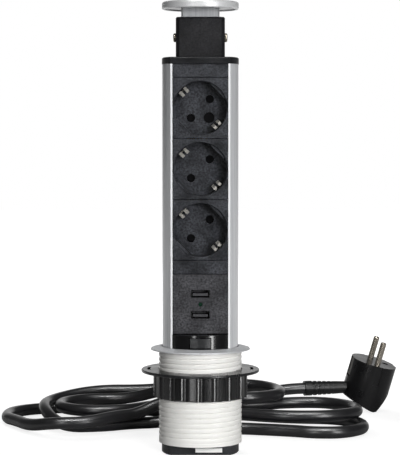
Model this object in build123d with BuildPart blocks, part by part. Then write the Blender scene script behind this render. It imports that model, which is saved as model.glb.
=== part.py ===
from build123d import *
import math
import os

os.makedirs("parts", exist_ok=True)

# A pop up desk socket, shown raised. Millimetres, +Z up, the sockets face -Y.
# The origin is on the tower's axis, on the surface that the tower stands on.

# Section of the aluminium tower: a round tube with a flat, open front
tower_radius = 27.15
tower_flat = 17.2
tower_wall = 1.5
slot_half = 19.7
rail_inner = 20.9
rail_back = 11.8
rail_thickness = 1.2
channel_angle = 30.0
channel_inset = 1.8
channel_radius = 2.9
tower_inner = tower_radius - tower_wall

# Heights of what is stacked in the front opening, from the base up. The latch stands behind
# the flange of the collar, and a socket is as high as its round recess and a margin
base_thickness = 6.6
tube_length = 66.6
tube_stop_gap = 0.8
latch_below_flange = 17.6
latch_height = 30.0
usb_height = 42.4
blank_height = 9.8
recess_radius = 19.0
recess_margin = 2.5
socket_count = 3

lower_blank_height = tube_stop_gap + tube_length - latch_below_flange
socket_height = 2 * (recess_radius + recess_margin)
profile_bottom = base_thickness
latch_bottom = profile_bottom + lower_blank_height
usb_bottom = latch_bottom + latch_height
mid_blank_bottom = usb_bottom + usb_height
sockets_bottom = mid_blank_bottom + blank_height
top_blank_bottom = sockets_bottom + socket_count * socket_height
profile_top = top_blank_bottom + blank_height
profile_length = profile_top - profile_bottom

# Inserts that slide into the front opening
insert_clearance = 0.25
seam_gap = 0.2
seam_chamfer = 0.5
face_thickness = 2.4
flange_half = 20.5
flange_thickness = 1.5
insert_half = slot_half - insert_clearance
face_back = tower_flat - face_thickness
flange_back = face_back - flange_thickness

# One earthed socket
recess_depth = 17.5
recess_chamfer = 0.4
cup_wall = 1.0
floor_thickness = 3.5
pin_spacing = 19.0
pin_radius = 2.4
pin_length = 19.0
pin_hole_radius = 3.0
pin_angle = 45.0
clip_angle = 135.0
clip_radius = 18.0
clip_thickness = 0.8
clip_width = 6.5
clip_slot_clearance = 0.3
guide_inward = 1.8
guide_width = 14.0
guide_below_face = 2.0
pillar_offset = 16.2
pillar_radius = 1.6
access_hole_radius = 3.9
access_hole_x = 6.2
access_hole_z = -6.5
access_hole_depth = 3.0

floor_front = recess_depth - tower_flat
floor_back = floor_front + floor_thickness

# Shutter behind each socket's floor
pivot_radius = 2.0
pivot_clearance = 0.3
shutter_gap = 0.3
shutter_thickness = 1.5
shutter_hub_radius = 4.0
shutter_blade_width = 8.0
shutter_blade_reach = 13.4
shutter_front = floor_back + shutter_gap
shutter_back = shutter_front + shutter_thickness
pivot_back = shutter_back + shutter_gap

# Earth straps, busbars and the carriers behind the sockets
strap_gap = 0.2
strip_thickness = 0.8
earth_strip_half = 2.5
earth_strip_overrun = 8.0
strip_tail = 4.0
strap_front = pivot_back + strap_gap
strap_back = strap_front + clip_thickness
earth_strip_back = strap_back + strip_thickness
carrier_front = earth_strip_back + strap_gap
carrier_flange_thickness = 2.2
carrier_flange_half = 17.6
carrier_half = 11.9
carrier_back_wall = 1.6
carrier_gap = 2.0
carrier_height = socket_height - carrier_gap
busbar_width = 6.0
busbar_thickness = 1.0
busbar_behind_pin = 0.3
contact_clearance = 0.05
contact_thickness = 0.8
contact_height = 7.0
contact_front_gap = 2.2
busbar_overrun = 13.0
busbar_side_clearance = 0.3
pin_offset = pin_spacing / 2 * math.sqrt(0.5)
busbar_front = floor_front + pin_length + busbar_behind_pin
busbar_back = busbar_front + busbar_thickness
carrier_back = busbar_back + busbar_side_clearance + carrier_back_wall

# Hooks of the earth clips: shares of the recess depth from its floor, and inward reaches
clip_top_share = 0.85
clip_hook_share = 0.45
clip_tail_share = 0.14
clip_hook_inward = 3.4
clip_tail_inward = 1.8
clip_fork_width = 2.0

# Charging module
port_width = 13.2
port_height = 5.7
port_spacing = 14.9
shell_clearance = 0.15
shell_wall = 0.35
tongue_width = 10.6
tongue_height = 1.8
tongue_drop = 0.65
tongue_inset = 1.6
frame_half = 17.4
frame_wall = 1.4
board_front = 4.0
board_thickness = 1.6
board_clearance = 0.2
led_radius = 1.3
led_clearance = 0.25
led_proud = 0.05
transformer_width = 15.0
transformer_height = 13.0
transformer_depth = 12.0
transformer_x = -8.0
transformer_z = 8.0
capacitor_radius = 4.0
capacitor_length = 12.5
capacitor_x = 9.0
capacitor_spacing = 11.0

# Latch that frees the raised tower
latch_window_width = 15.6
latch_window_height = 9.0
latch_window_below_top = 1.8
latch_window_chamfer = 0.5
latch_body_half = 16.0
latch_body_back = 6.0
latch_pocket_back = 10.0
button_clearance = 0.5
button_inset = 0.35
button_thickness = 4.2
button_chamfer = 1.4
button_travel = 2.5
stem_radius = 1.8
stem_clearance = 0.4
clip_ring_radius = 3.2
clip_ring_thickness = 0.8
clip_ring_gap = 0.3
spring_radius = 3.4
spring_wire_radius = 0.35
spring_turns = 6
spring_seat_gap = 0.1

# Ends of the tower
end_plate_radius = 27.4
end_plate_flat = 17.5
end_plate_thickness = 4.8
end_plate_rounding = 1.2
base_radius = 27.7
base_chamfer = 0.6
tenon_half = 16.0
tenon_front = 10.6
tenon_back = 6.0
tenon_height = 7.0
box_half_width = 17.3
box_half_depth = 15.0
box_height = 28.1
box_corner_bevel = 2.5
box_rounding = 1.4
box_floor = 4.0
neck_half_width = 13.5
neck_half_depth = 10.5
neck_fit = 0.2
neck_wall = 2.2
neck_bevel = 1.2
neck_above_box = 5.9
cap_radius = 27.3
cap_thickness = 5.4
cap_rounding = 1.7
cap_lip_width = 2.0
cap_lip_depth = 1.0

top_plate_top = profile_top + end_plate_thickness
box_top = top_plate_top + box_height
cap_bottom = box_top + neck_above_box
cap_top = cap_bottom + cap_thickness
neck_bottom = top_plate_top + box_floor

# Screws: head radius, head height, thread radius
small_head_radius = 2.4
small_head_height = 1.6
small_thread_radius = 1.35
large_head_radius = 3.2
large_head_height = 2.0
large_thread_radius = 1.9
head_rounding_share = 0.55
drive_width_share = 0.22
drive_length_share = 1.3
drive_depth_share = 0.55
end_screw_length = 12.0
head_screw_length = 6.0
cap_screw_length = 5.5
cap_screw_offset = 8.0
head_screw_drop = 14.0
screw_clearance = 0.15

# Collar that is fixed in the desk
tube_clearance = 0.4
stop_lip_clearance = 0.3
stop_lip_height = 3.0
thread_crest_radius = 29.7
thread_depth = 1.0
thread_groove_width = 2.2
thread_pitch = 3.5
thread_neck = 1.2
thread_tail = 2.4
tube_bore = max(end_plate_radius, cap_radius) + tube_clearance
tube_bottom = base_thickness + tube_stop_gap
flange_bottom = tube_bottom + tube_length
stop_lip_bore = tower_radius + stop_lip_clearance
flange_radius = 35.6
flange_edge = 0.9
flange_rise = 1.5
flange_crown_width = 1.4
flange_rebate = 0.8
rebate_clearance = 0.1
flange_top = flange_bottom + flange_edge + flange_rise
tube_top = flange_bottom + flange_rebate
cord_notch_clearance = 0.6
label_width = 19.0
label_height = 3.0
label_thickness = 0.3
label_centre_x = 6.0
label_centre_z = 3.5

# Clamp ring and fluted ring nut on the thread
nut_clearance = 0.4
clamp_ring_width = 12.2
clamp_thickness = 2.0
clamp_rounding = 0.7
clamp_below_flange = 14.2
clamp_slot_middle_share = 0.57
clamp_slot_width_share = 0.18
clamp_slot_angle = 24.0
clamp_slot_count = 4
nut_radius = 33.8
nut_height = 17.5
nut_gap = 0.3
flute_count = 20
flute_radius = 4.6
flute_depth = 1.3
nut_taper = 1.0
clamp_top = flange_bottom - clamp_below_flange
clamp_bottom = clamp_top - clamp_thickness
nut_top = clamp_bottom - nut_gap
nut_bottom = nut_top - nut_height
nut_bore = thread_crest_radius + nut_clearance
clamp_radius = nut_bore + clamp_ring_width
clamp_slot_middle = nut_bore + clamp_ring_width * clamp_slot_middle_share

# Mains cord and its grommet
cord_radius = 4.6
grommet_axis_z = 7.9
grommet_radius = 6.0
grommet_tip_radius = 5.3
grommet_front = 17.0
grommet_taper_start = 30.0
grommet_tip = 39.0
grommet_fit = 0.05
cord_start = 27.6
grommet_notch_clearance = 0.3
clamp_bar_half = 11.8
clamp_bar_front = 18.0
clamp_bar_back = 22.4
clamp_bar_roof = 2.2
clamp_screw_offset = 9.2
lead_radius = 1.1
lead_spacing = 3.4
lead_bend_radius = 7.5
lead_front = 6.0
lead_turn_z = 58.0
lead_back_z = 90.0
lead_rise = 4.0
lead_end_gap = 0.2
overrun = 6.0

# Plug: its body stands on its wedge, leaning from the cord
plug_radius = 18.8
plug_lean = 15.6
plug_heading = 12.0
plug_nod = 6.0
plug_face_centre = (143.0, 189.0, 40.8)
plug_side_height = 20.0
plug_wedge_height = 38.0
plug_ridge_x = 5.0
plug_ridge_half = 3.0
plug_ridge_drop = 0.8
plug_cord_side_height = 31.5
plug_cord_height = 25.6
plug_groove_width = 7.0
plug_groove_depth = 1.6
plug_groove_height = 16.0
plug_contact_width = 6.2
plug_contact_thickness = 0.9
plug_contact_height = 15.0
plug_guide_width = 5.2
plug_guide_depth = 0.8
earth_hole_radius = 2.6
earth_hole_depth = 14.0
earth_hole_x = 10.0
plug_edge_chamfer = 0.8
boot_length = 34.0
boot_cord_radius = 6.1
boot_plug_radius = 4.9
boot_collar = 5.0
boot_groove_count = 5
boot_groove_pitch = 4.0
boot_groove_width = 1.7
boot_groove_depth = 1.0
boot_root_depth = 4.5

# Straight runs at the ends of the last stretch, and how much of a run its corner's arc takes
lead_first_run = 17.0
lead_last_run = 16.0
corner_share = 0.45

# Heights of a cord's centre that lies on the floor, on one strand and on two
strand_gap = 0.6
layer_1 = cord_radius
layer_2 = layer_1 + 2 * cord_radius + strand_gap
layer_3 = layer_2 + 2 * cord_radius + strand_gap

# Route from the grommet to the loops, a point for each corner
exit_route = [
    (0, cord_start, grommet_axis_z),
    (0, 47.6, grommet_axis_z),
    (11.9, 64.3, 6.0),
    (31.2, 71.1, layer_1),
    (61.5, 62.398, layer_1),
]

# The loops behind the tower: place, height and heading in degrees, four stations to a turn
loop_stations = [
    (61.5, 62.398, layer_1, -16),
    (94.0, 52.0, layer_1, 0),
    (124.5, 84.0, layer_1, 92),
    (91.0, 120.0, layer_1, 176),
    (0, 148.0, layer_1, 166),
    (-100.0, 174.0, layer_1, 172),
    (-153.0, 136.0, layer_1, 266),
    (-136.0, 90.0, layer_1 + 1.0, 297),
    (-98.0, 65.0, layer_1 + 5.2, 4),
    (-56.0, 86.0, layer_2 - 2.0, 32),
    (-22.0, 99.0, layer_3 - 3.6, 8),
    (26.0, 95.0, layer_3, -4),
    (62.5, 129.0, layer_3, 92),
    (26.0, 165.0, layer_3 + 1.0, 182),
    (-66.0, 172.0, layer_2 + 5.0, 178),
    (-122.5, 130.0, layer_2, 266),
    (-88.0, 81.0, layer_1, 4),
    (-42.0, 98.0, layer_1, 12),
    (16.0, 84.0, layer_2, -16),
    (84.0, 67.0, layer_2, 2),
    (121.2, 101.0, layer_2, 92),
    (84.0, 138.0, layer_2, 182),
    (34.0, 124.0, layer_2, 190),
    (-12.0, 138.0, layer_3, 158),
    (-74.0, 158.0, layer_2, 178),
    (-110.0, 126.0, layer_2, 268),
    (-77.0, 94.0, layer_2, 2),
    (-26.0, 130.0, layer_2, 42),
    (26.0, 173.0, layer_2 - 0.4, 10),
]


def facing(y, z):
    """The plane at depth y and height z that faces the front."""
    return Plane(origin=(0, y, z), x_dir=(1, 0, 0), z_dir=(0, -1, 0))


def save(part, label):
    """Label a finished piece and write it."""
    part.label = label
    export_step(part, f"parts/{label}.step")


def screw_at(plane, head_radius, head_height, thread_radius, length):
    """A pan-head screw with a cross drive, its head on the plane and its thread behind it."""
    with BuildPart() as screw:
        with BuildSketch():
            Circle(head_radius)
        extrude(amount=head_height)
        fillet(screw.edges().sort_by(Axis.Z)[-1], head_height * head_rounding_share)
        with BuildSketch():
            Circle(thread_radius)
        extrude(amount=-length)
        with BuildSketch(Plane.XY.offset(head_height)):
            Rectangle(head_radius * drive_length_share, head_radius * drive_width_share)
            Rectangle(head_radius * drive_width_share, head_radius * drive_length_share)
        extrude(amount=-head_height * drive_depth_share, mode=Mode.SUBTRACT)
    return plane.location * screw.part


def save_group(solids, label):
    """Write like fasteners as one node."""
    group = Compound(children=solids)
    save(group, label)


# Aluminium profile: open at the front, with rails behind the lips and two screw channels
channel_reach = tower_inner - channel_inset
channel_x = channel_reach * math.cos(math.radians(channel_angle))
channel_y = channel_reach * math.sin(math.radians(channel_angle))
rail_middle = rail_back + rail_thickness / 2
rail_outer = math.sqrt((tower_radius - tower_wall / 2) ** 2 - (rail_back + rail_thickness) ** 2)
rail_width = rail_outer - rail_inner
grommet_slot_half = grommet_radius + grommet_notch_clearance
grommet_slot_top = grommet_axis_z + grommet_slot_half

with BuildPart() as tower_profile:
    with BuildSketch(Plane.XY.offset(profile_bottom)):
        Circle(tower_radius)
        Circle(tower_inner, mode=Mode.SUBTRACT)
        with Locations((0, -tower_flat - tower_radius)):
            Rectangle(2 * tower_radius, 2 * tower_radius, mode=Mode.SUBTRACT)
        with Locations((0, -tower_flat)):
            Rectangle(2 * slot_half, 2 * tower_wall, mode=Mode.SUBTRACT)
        for side in (-1, 1):
            with Locations((side * (rail_inner + rail_width / 2), -rail_middle)):
                Rectangle(rail_width, rail_thickness)
            with Locations((side * channel_x, channel_y)):
                Circle(channel_radius)
                Circle(small_thread_radius, mode=Mode.SUBTRACT)
    extrude(amount=profile_length)
    with BuildSketch(facing(tower_inner / 2, profile_bottom)):
        Rectangle(2 * grommet_slot_half, 2 * (grommet_slot_top - profile_bottom))
    extrude(amount=-tower_radius, mode=Mode.SUBTRACT)
save(tower_profile.part, "tower_profile")


def insert_body(bottom, height):
    """Draw an insert's face and the flange that the profile's lips hold, in the open part."""
    middle = bottom + height / 2
    with BuildSketch(facing(-tower_flat, middle)) as face:
        Rectangle(2 * insert_half, height - seam_gap)
    extrude(face.sketch, amount=-face_thickness)
    with BuildSketch(facing(-face_back, middle)) as flange:
        Rectangle(2 * flange_half, height - seam_gap)
    extrude(flange.sketch, amount=-flange_thickness)


def chamfer_seams(builder):
    """Break the upper and lower front edges of an insert."""
    front = builder.faces().sort_by(Axis.Y)[0]
    rim = front.outer_wire().edges().filter_by(Axis.X)
    chamfer(rim, seam_chamfer)


def blank_insert(bottom, height):
    """A plain filler insert with two stiffening ribs behind it."""
    with BuildPart() as blank:
        insert_body(bottom, height)
        chamfer_seams(blank)
        with BuildSketch(facing(-flange_back, bottom + height / 2)):
            with GridLocations(slot_half, 0, 2, 1):
                Rectangle(flange_thickness, height / 2)
        extrude(amount=-face_thickness)
    return blank.part


save(blank_insert(top_blank_bottom, blank_height), "top_blank")
save(blank_insert(mid_blank_bottom, blank_height), "middle_blank")
save(blank_insert(profile_bottom, lower_blank_height), "lower_blank")


def socket_insert(centre, with_access_hole):
    """One socket: face, round recess, guides, pin holes, clip slots and the shutter's pivot."""
    cup_depth = floor_back + face_back
    with BuildPart() as insert:
        insert_body(centre - socket_height / 2, socket_height)
        chamfer_seams(insert)
        with BuildSketch(facing(-face_back, centre)):
            Circle(recess_radius + cup_wall)
        extrude(amount=-cup_depth)
        with BuildSketch(facing(-tower_flat, centre)):
            Circle(recess_radius)
        extrude(amount=-recess_depth, mode=Mode.SUBTRACT)
        rim = insert.edges().filter_by(GeomType.CIRCLE).sort_by(Axis.Y)[0]
        chamfer(rim, recess_chamfer)
        with BuildSketch(facing(floor_front, centre)):
            with PolarLocations(recess_radius - guide_inward / 2, 2, start_angle=pin_angle):
                Rectangle(guide_inward + recess_chamfer, guide_width)
        extrude(amount=recess_depth - guide_below_face)
        with BuildSketch(facing(floor_front, centre)):
            with PolarLocations(pin_spacing / 2, 2, start_angle=pin_angle):
                Circle(pin_hole_radius)
            with PolarLocations(clip_radius, 2, start_angle=clip_angle):
                slot_thickness = clip_thickness + 2 * clip_slot_clearance
                Rectangle(slot_thickness, clip_width + 2 * clip_slot_clearance)
        extrude(amount=-floor_thickness, mode=Mode.SUBTRACT)
        if with_access_hole:
            with BuildSketch(facing(floor_front, centre)):
                with Locations((access_hole_x, access_hole_z)):
                    Circle(access_hole_radius)
            extrude(amount=-access_hole_depth, mode=Mode.SUBTRACT)
        with BuildSketch(facing(floor_back, centre)):
            Circle(pivot_radius)
        extrude(amount=floor_back - pivot_back)
        with BuildSketch(facing(floor_back, centre)):
            with GridLocations(2 * pillar_offset, 0, 2, 1):
                Circle(pillar_radius)
        extrude(amount=floor_back - carrier_front)
    return insert.part


def shutter(centre):
    """Two blades on a hub that cover the pin holes until a plug turns them aside."""
    with BuildPart() as blades:
        with BuildSketch(facing(shutter_front, centre)):
            Circle(shutter_hub_radius)
            with Locations(Rotation(0, 0, pin_angle)):
                Rectangle(2 * shutter_blade_reach, shutter_blade_width)
            Circle(pivot_radius + pivot_clearance, mode=Mode.SUBTRACT)
        extrude(amount=-shutter_thickness)
        corners = blades.edges().filter_by(Axis.Y).sort_by(lambda edge: edge.length)
        outer = corners.filter_by(
            lambda edge: (edge.center() - Vector(0, edge.center().Y, centre)).length
            > shutter_blade_reach
        )
        fillet(outer, shutter_thickness)
    return blades.part


def earth_strap(centre):
    """A strap behind the floor whose two ends come up through it as forked spring clips."""
    clip_top = floor_front - recess_depth * clip_top_share
    clip_hook = floor_front - recess_depth * clip_hook_share
    clip_tail = floor_front - recess_depth * clip_tail_share
    half_angle = math.radians(clip_angle)
    outward = Vector(math.cos(half_angle), 0, math.sin(half_angle))
    across = Vector(0, 1, 0).cross(outward)
    section = Plane(origin=(0, 0, centre), x_dir=outward, z_dir=across)
    # the section's own second axis points to the front or to the back
    back_sign = section.y_dir.Y
    bar = (strap_front + strap_back) / 2 * back_sign
    with BuildPart() as strap:
        with BuildSketch(section):
            with BuildLine():
                Polyline(
                    (clip_tail_inward - clip_radius, clip_tail * back_sign),
                    (clip_hook_inward - clip_radius, clip_hook * back_sign),
                    (clip_tail_inward - clip_radius, clip_top * back_sign),
                    (-clip_radius, (clip_top + clip_hook) / 2 * back_sign),
                    (-clip_radius, bar),
                    (clip_radius, bar),
                    (clip_radius, (clip_top + clip_hook) / 2 * back_sign),
                    (clip_radius - clip_tail_inward, clip_top * back_sign),
                    (clip_radius - clip_hook_inward, clip_hook * back_sign),
                    (clip_radius - clip_tail_inward, clip_tail * back_sign),
                )
            trace(line_width=clip_thickness)
        extrude(amount=clip_width / 2, both=True)
        with BuildSketch(section):
            with GridLocations(2 * (clip_radius - clip_hook_inward), 0, 2, 1):
                Rectangle(2 * (clip_hook_inward + clip_thickness), 4 * recess_depth)
            with Locations((0, bar)):
                Rectangle(4 * clip_radius, 4 * clip_thickness, mode=Mode.SUBTRACT)
        extrude(amount=clip_fork_width / 2, both=True, mode=Mode.SUBTRACT)
    return strap.part


def contact_carrier(centre):
    """The tray behind a socket that keeps the live and neutral busbars apart."""
    channel_width = busbar_width + 2 * busbar_side_clearance + contact_thickness
    with BuildPart() as carrier:
        with BuildSketch(facing(carrier_front, centre)):
            Rectangle(2 * carrier_flange_half, carrier_height)
        extrude(amount=-carrier_flange_thickness)
        with BuildSketch(facing(carrier_front, centre)):
            Rectangle(2 * carrier_half, carrier_height)
        extrude(amount=carrier_front - carrier_back)
        with BuildSketch(facing(carrier_front, centre)):
            with GridLocations(2 * pin_offset, 0, 2, 1):
                Rectangle(channel_width, carrier_height)
        extrude(amount=carrier_front - carrier_back + carrier_back_wall, mode=Mode.SUBTRACT)
    return carrier.part


socket_centres = []
for place in range(socket_count):
    socket_centres.append(top_blank_bottom - socket_height * (place + 0.5))

for number, centre in enumerate(socket_centres, start=1):
    save(socket_insert(centre, number == 1), f"socket_insert_{number}")
    save(shutter(centre), f"shutter_{number}")
    save(earth_strap(centre), f"earth_strap_{number}")
    save(contact_carrier(centre), f"contact_carrier_{number}")


def busbar(side):
    """A strip behind the pins, with a pair of contact springs for each socket."""
    x = side * pin_offset
    low = sockets_bottom - strip_tail
    high = socket_centres[0] + busbar_overrun
    with BuildPart() as bar:
        with BuildSketch(facing(busbar_front, (low + high) / 2)):
            with Locations((x, 0)):
                Rectangle(busbar_width, high - low)
        extrude(amount=-busbar_thickness)
        for centre in socket_centres:
            with BuildSketch(facing(busbar_front, centre + side * pin_offset)):
                with Locations((x, 0)):
                    with GridLocations(2 * (pin_radius + contact_clearance) + contact_thickness, 0, 2, 1):
                        Rectangle(contact_thickness, contact_height)
            extrude(amount=busbar_front - carrier_front - contact_front_gap)
    return bar.part


save(busbar(1), "live_busbar")
save(busbar(-1), "neutral_busbar")
busbar_low = sockets_bottom - strip_tail

with BuildPart() as earth_busbar:
    earth_low = sockets_bottom - strip_tail
    earth_high = socket_centres[0] + earth_strip_overrun
    with BuildSketch(facing(strap_back, (earth_low + earth_high) / 2)):
        Rectangle(2 * earth_strip_half, earth_high - earth_low)
    extrude(amount=-strip_thickness)
save(earth_busbar.part, "earth_busbar")

# Charging module: faceplate with a frame behind it, two ports, board and light pipe
usb_centre = usb_bottom + usb_height / 2
port_heights = [usb_centre + port_spacing / 2, usb_centre - port_spacing / 2]
frame_height = usb_height - 2 * frame_wall
frame_depth = flange_back - board_front

with BuildPart() as usb_faceplate:
    insert_body(usb_bottom, usb_height)
    chamfer_seams(usb_faceplate)
    with BuildSketch(facing(-flange_back, usb_centre)):
        Rectangle(2 * frame_half, frame_height)
        Rectangle(2 * (frame_half - frame_wall), frame_height - 2 * frame_wall, mode=Mode.SUBTRACT)
    extrude(amount=-frame_depth)
    with BuildSketch(facing(-tower_flat, usb_centre)):
        with GridLocations(0, port_spacing, 1, 2):
            Rectangle(port_width, port_height)
        Circle(led_radius + led_clearance)
    extrude(amount=-face_thickness - flange_thickness, mode=Mode.SUBTRACT)
save(usb_faceplate.part, "usb_faceplate")

shell_width = port_width - 2 * shell_clearance
shell_height = port_height - 2 * shell_clearance
port_names = ("upper", "lower")
for port_name, height in zip(port_names, port_heights):
    with BuildPart() as usb_shell:
        with BuildSketch(facing(-tower_flat + shell_wall, height)):
            Rectangle(shell_width, shell_height)
            Rectangle(shell_width - 2 * shell_wall, shell_height - 2 * shell_wall, mode=Mode.SUBTRACT)
        extrude(amount=board_front - tower_flat + shell_wall)
    save(usb_shell.part, f"usb_shell_{port_name}")
    with BuildPart() as usb_tongue:
        with BuildSketch(facing(-board_front, height)):
            Rectangle(shell_width - 4 * shell_wall, shell_height - 4 * shell_wall)
        extrude(amount=board_thickness)
        with BuildSketch(facing(-board_front, height - tongue_drop)):
            Rectangle(tongue_width, tongue_height)
        extrude(amount=tower_flat - board_front - tongue_inset)
    save(usb_tongue.part, f"usb_tongue_{port_name}")

with BuildPart() as charger_board:
    with BuildSketch(facing(-board_front, usb_centre)):
        Rectangle(2 * frame_half, frame_height)
    extrude(amount=-board_thickness)
save(charger_board.part, "charger_board")

board_back = board_thickness - board_front
with BuildPart() as charger_transformer:
    with BuildSketch(facing(board_back, usb_centre + transformer_z)):
        with Locations((transformer_x, 0)):
            Rectangle(transformer_width, transformer_height)
    extrude(amount=-transformer_depth)
    chamfer(charger_transformer.edges().filter_by(Axis.Y), seam_chamfer)
save(charger_transformer.part, "charger_transformer")

with BuildPart() as charger_capacitors:
    with BuildSketch(facing(board_back, usb_centre)):
        with Locations((capacitor_x, 0)):
            with GridLocations(0, capacitor_spacing, 1, 2):
                Circle(capacitor_radius)
    extrude(amount=-capacitor_length)
save(charger_capacitors.part, "charger_capacitors")

with BuildPart() as led_pipe:
    with BuildSketch(facing(-tower_flat - led_proud, usb_centre)):
        Circle(led_radius)
    extrude(amount=board_front - tower_flat - led_proud)
save(led_pipe.part, "led_pipe")

# Latch block: it fills the tower out to a full round where the collar guides it
window_middle = usb_bottom - latch_window_below_top - latch_window_height / 2
button_front = tower_radius - button_inset

with BuildPart() as latch_block:
    with BuildSketch(Plane.XY.offset(latch_bottom)):
        with Locations((0, -(tower_radius + face_back) / 2)):
            Rectangle(2 * insert_half, tower_radius - face_back)
        Circle(tower_radius, mode=Mode.INTERSECT)
        with Locations((0, -(face_back + flange_back) / 2)):
            Rectangle(2 * flange_half, flange_thickness)
        with Locations((0, -(flange_back + latch_body_back) / 2)):
            Rectangle(2 * latch_body_half, flange_back - latch_body_back)
    extrude(amount=latch_height - seam_gap)
    with BuildSketch(facing(-latch_pocket_back, window_middle)):
        Rectangle(latch_window_width, latch_window_height)
    extrude(amount=tower_radius, mode=Mode.SUBTRACT)
    with BuildSketch(facing(-latch_pocket_back, window_middle)):
        Circle(stem_radius + stem_clearance)
    extrude(amount=-latch_pocket_back, mode=Mode.SUBTRACT)
save(latch_block.part, "latch_block")

with BuildPart() as latch_button:
    with BuildSketch(Plane.XY.offset(window_middle - latch_window_height / 2 + button_clearance)):
        with Locations((0, -button_front + button_thickness / 2)):
            Rectangle(latch_window_width - 2 * button_clearance, button_thickness)
        Circle(button_front, mode=Mode.INTERSECT)
    extrude(amount=latch_window_height - 2 * button_clearance)
    lower_front = latch_button.edges().filter_by(GeomType.CIRCLE).group_by(Axis.Z)[0]
    chamfer(lower_front, button_chamfer)
    with BuildSketch(facing(button_thickness - button_front, window_middle)):
        Circle(stem_radius)
    stem_end = latch_body_back - clip_ring_gap - 2 * clip_ring_thickness
    extrude(amount=stem_end - button_front + button_thickness)
save(latch_button.part, "latch_button")

with BuildPart() as latch_clip:
    with BuildSketch(facing(clip_ring_gap - latch_body_back, window_middle)):
        Circle(clip_ring_radius)
        Circle(stem_radius, mode=Mode.SUBTRACT)
    extrude(amount=-clip_ring_thickness)
save(latch_clip.part, "latch_clip")

spring_length = button_front - button_thickness - latch_pocket_back
spring_pitch = (spring_length - 2 * (spring_seat_gap + spring_wire_radius)) / spring_turns
spring_start = -latch_pocket_back - spring_seat_gap - spring_wire_radius
with BuildPart() as latch_spring:
    with BuildLine() as spring_path:
        Helix(
            spring_pitch,
            spring_pitch * spring_turns,
            spring_radius,
            center=(0, spring_start, window_middle),
            direction=(0, -1, 0),
        )
    with BuildSketch(Plane(origin=spring_path.line @ 0, z_dir=spring_path.line % 0)):
        Circle(spring_wire_radius)
    sweep(is_frenet=True)
save(latch_spring.part, "latch_spring")


def d_plate(radius, flat):
    """A round plate's outline with the tower's flat front."""
    Circle(radius)
    with Locations((0, -flat - radius)):
        Rectangle(2 * radius, 2 * radius, mode=Mode.SUBTRACT)


# Base cap: a plate with a tongue behind the front inserts and a notch for the grommet
base_flat = end_plate_flat
with BuildPart() as base_cap:
    with BuildSketch():
        d_plate(base_radius, base_flat)
    extrude(amount=base_thickness)
    chamfer(base_cap.faces().sort_by(Axis.Z)[0].edges(), base_chamfer)
    with BuildSketch(Plane.XY.offset(base_thickness)):
        with Locations((0, -(tenon_front + tenon_back) / 2)):
            Rectangle(2 * tenon_half, tenon_front - tenon_back)
    extrude(amount=tenon_height)
    with BuildSketch():
        with Locations((0, grommet_front + base_radius)):
            Rectangle(2 * grommet_slot_half, 2 * base_radius)
        with Locations((-channel_x, channel_y), (channel_x, channel_y)):
            Circle(small_thread_radius + screw_clearance)
        with GridLocations(2 * clamp_screw_offset, 0, 2, 1):
            with Locations((0, (clamp_bar_front + clamp_bar_back) / 2)):
                Circle(small_thread_radius)
    extrude(amount=base_thickness, mode=Mode.SUBTRACT)
    with BuildSketch():
        with Locations((-channel_x, channel_y), (channel_x, channel_y)):
            Circle(small_head_radius + screw_clearance)
    extrude(amount=small_head_height + screw_clearance, mode=Mode.SUBTRACT)
save(base_cap.part, "base_cap")

base_screws = []
plate_screws = []
for side in (-1, 1):
    below = Plane(origin=(side * channel_x, channel_y, small_head_height + screw_clearance), z_dir=(0, 0, -1))
    above_height = top_plate_top - small_head_height - screw_clearance
    above = Plane(origin=(side * channel_x, channel_y, above_height), z_dir=(0, 0, 1))
    small = (small_head_radius, small_head_height, small_thread_radius, end_screw_length)
    base_screws.append(screw_at(below, *small))
    plate_screws.append(screw_at(above, *small))
save_group(base_screws, "base_screws")
save_group(plate_screws, "top_plate_screws")

# Top plate, head box, neck and cap
with BuildPart() as top_plate:
    with BuildSketch(Plane.XY.offset(profile_top)):
        d_plate(end_plate_radius, end_plate_flat)
    extrude(amount=end_plate_thickness)
    fillet(top_plate.faces().sort_by(Axis.Z)[-1].edges(), end_plate_rounding)
    with BuildSketch(Plane.XY.offset(profile_top)):
        with Locations((0, -(tenon_front + tenon_back) / 2)):
            Rectangle(2 * tenon_half, tenon_front - tenon_back)
    extrude(amount=-tenon_height)
    with BuildSketch(Plane.XY.offset(profile_top)):
        with Locations((-channel_x, channel_y), (channel_x, channel_y)):
            Circle(small_thread_radius + screw_clearance)
    extrude(amount=end_plate_thickness, mode=Mode.SUBTRACT)
    with BuildSketch(Plane.XY.offset(top_plate_top)):
        with Locations((-channel_x, channel_y), (channel_x, channel_y)):
            Circle(small_head_radius + screw_clearance)
    extrude(amount=-small_head_height - screw_clearance, mode=Mode.SUBTRACT)
save(top_plate.part, "top_plate")

head_screw_z = box_top - head_screw_drop
with BuildPart() as head_box:
    with BuildSketch(Plane.XY.offset(top_plate_top)):
        Rectangle(2 * box_half_width, 2 * box_half_depth)
        chamfer(vertices(), box_corner_bevel)
    extrude(amount=box_height)
    fillet(head_box.faces().sort_by(Axis.Z)[-1].edges(), box_rounding)
    with BuildSketch(Plane.XY.offset(neck_bottom)):
        Rectangle(2 * (neck_half_width + neck_fit), 2 * (neck_half_depth + neck_fit))
    extrude(amount=box_height, mode=Mode.SUBTRACT)
    with BuildSketch(Plane(origin=(-box_half_width, 0, head_screw_z), z_dir=(1, 0, 0))):
        Circle(large_thread_radius + screw_clearance)
    extrude(amount=2 * box_half_width, mode=Mode.SUBTRACT)
save(head_box.part, "head_box")

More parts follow.
